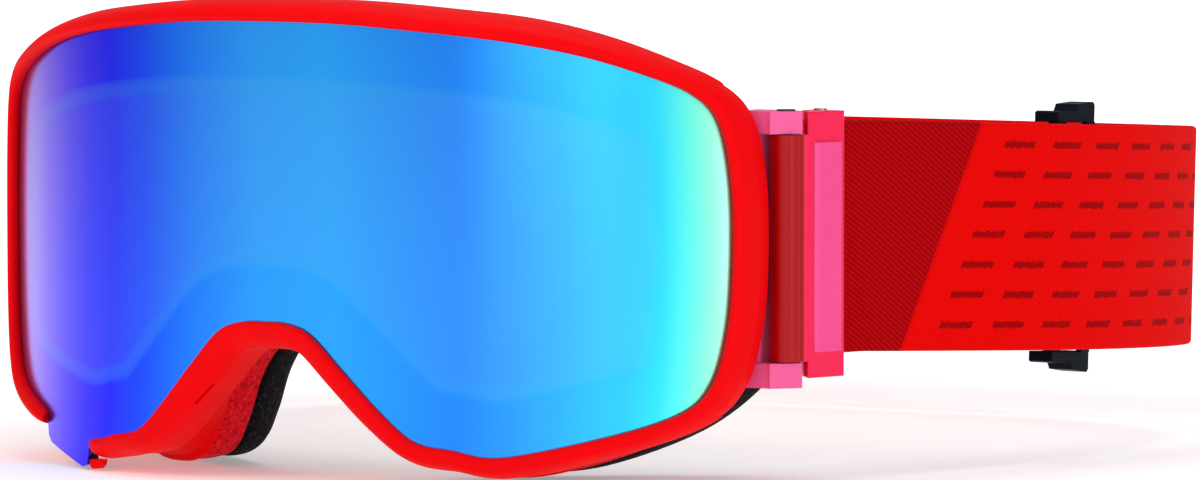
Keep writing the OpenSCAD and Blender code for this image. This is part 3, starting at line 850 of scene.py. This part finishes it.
for side, name in ((1, "left"), (-1, "right")):
    piece = dress(make_front_strap("strap_front_" + name + "_cloth", side), dark_strap)
    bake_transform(piece)
    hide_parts("strap_end_" + name, "strap_front_" + name, "strap_tail_" + name)

# ---- CAD pieces that stay ----
for node, shader in {
        "inner_lens": clear_lens, "lens_spacer": spacer, "rim_hook": rim_red,
        "tab_gasket": gasket, "top_vent_foam": vent_foam, "bottom_vent_foam_left": vent_foam,
        "bottom_vent_foam_right": vent_foam, "grip_lines": silicone}.items():
    repaint(node, shader)
for name in ("left", "right"):
    for node, shader in {"outrigger": arm_red_and_reflection, "hinge_pin": pin_steel, "swivel_plate": plate_red,
                         "plate_panel": panel_red, "strap_bar": bar_steel, "slider": slider_grey,
                         "slider_tab": dark_strap}.items():
        repaint(node + "_" + name, shader)

# ---- Studio ----
def make_stage():
    """A flat pale floor, open on every side so that the object shows from all round."""
    low, reach = cad_box[0][2] / MM - 0.5, 3000
    corners = [(-reach, -reach, low), (reach, -reach, low), (reach, reach, low),
               (-reach, reach, low)]
    obj = new_object("studio_floor", corners, [(0, 1, 2, 3)])
    s = Shader("studio_white", Roughness=0.9)
    s.set("Base Color", s.blend(s.noise(3, 2), (0.90, 0.90, 0.90), (0.93, 0.93, 0.93)))
    s.set("Emission Color", (1.0, 1.0, 1.0))
    # Away from the object the camera sees the floor as plain white
    x, y, _ = s.split(s.place)
    away = s.tree.nodes.new("ShaderNodeMapRange")
    away.interpolation_type = "SMOOTHSTEP"
    s.join(s.math("SQRT", s.math("ADD", s.math("MULTIPLY", x, x), s.math("MULTIPLY", y, y))),
           away.inputs["Value"])
    away.inputs["From Min"].default_value = 0.25
    away.inputs["From Max"].default_value = 0.9
    seen = s.tree.nodes.new("ShaderNodeLightPath").outputs["Is Camera Ray"]
    s.set("Emission Strength",
          s.math("MULTIPLY_ADD", s.math("MULTIPLY", away.outputs["Result"], seen), 0.8, 0.28))
    obj.data.materials.append(s.material)


make_stage()


def area_light(name, place, target, size, power, colour=(1, 1, 1)):
    data = bpy.data.lights.new(name, "AREA")
    data.shape = "RECTANGLE"
    data.size, data.size_y = size
    data.energy = power
    data.color = colour
    obj = bpy.data.objects.new(name, data)
    obj.location = place
    obj.rotation_mode = "QUATERNION"
    obj.rotation_quaternion = (Vector(target) - Vector(place)).to_track_quat("-Z", "Y")
    bpy.context.scene.collection.objects.link(obj)


area_light("key", (-0.5, -1.6, 1.3), (0, 0, 0), (1.4, 1.0), 13)
area_light("side", (1.7, -0.5, 0.35), (0.08, 0, 0), (0.35, 1.3), 11, (0.62, 0.72, 1.0))
area_light("top", (0.1, 0.2, 1.6), (0, 0, 0), (1.6, 1.2), 11)
area_light("fill", (1.0, -1.8, 0.2), (0, 0, 0), (1.0, 1.0), 4)

bpy.context.scene.view_settings.view_transform = "Standard"
world_light = bpy.data.worlds.new("studio")
bpy.context.scene.world = world_light
world_light.use_nodes = True
# The camera sees plain white, while the object is lit by a weaker grey
world_tree = world_light.node_tree
background = world_tree.nodes["Background"]
background.inputs["Color"].default_value = (1, 1, 1, 1)
seen = world_tree.nodes.new("ShaderNodeMapRange")
seen.inputs["To Min"].default_value = 0.42
seen.inputs["To Max"].default_value = 1.0
world_tree.links.new(world_tree.nodes.new("ShaderNodeLightPath").outputs["Is Camera Ray"],
                     seen.inputs["Value"])
world_tree.links.new(seen.outputs["Result"], background.inputs["Strength"])

# ---- Camera ----
camera_data = bpy.data.cameras.new("camera")
camera = bpy.data.objects.new("camera", camera_data)
bpy.context.scene.collection.objects.link(camera)
camera_data.lens, camera_data.sensor_width = 261.4, 36
camera_data.clip_start, camera_data.clip_end = 0.05, 20
camera.location = (0.9119, -1.4184, 0.0959)
camera.rotation_mode = "QUATERNION"
camera.rotation_quaternion = Vector((-0.5216, 0.8512, -0.0583)).to_track_quat("-Z", "Y")
bpy.context.scene.camera = camera
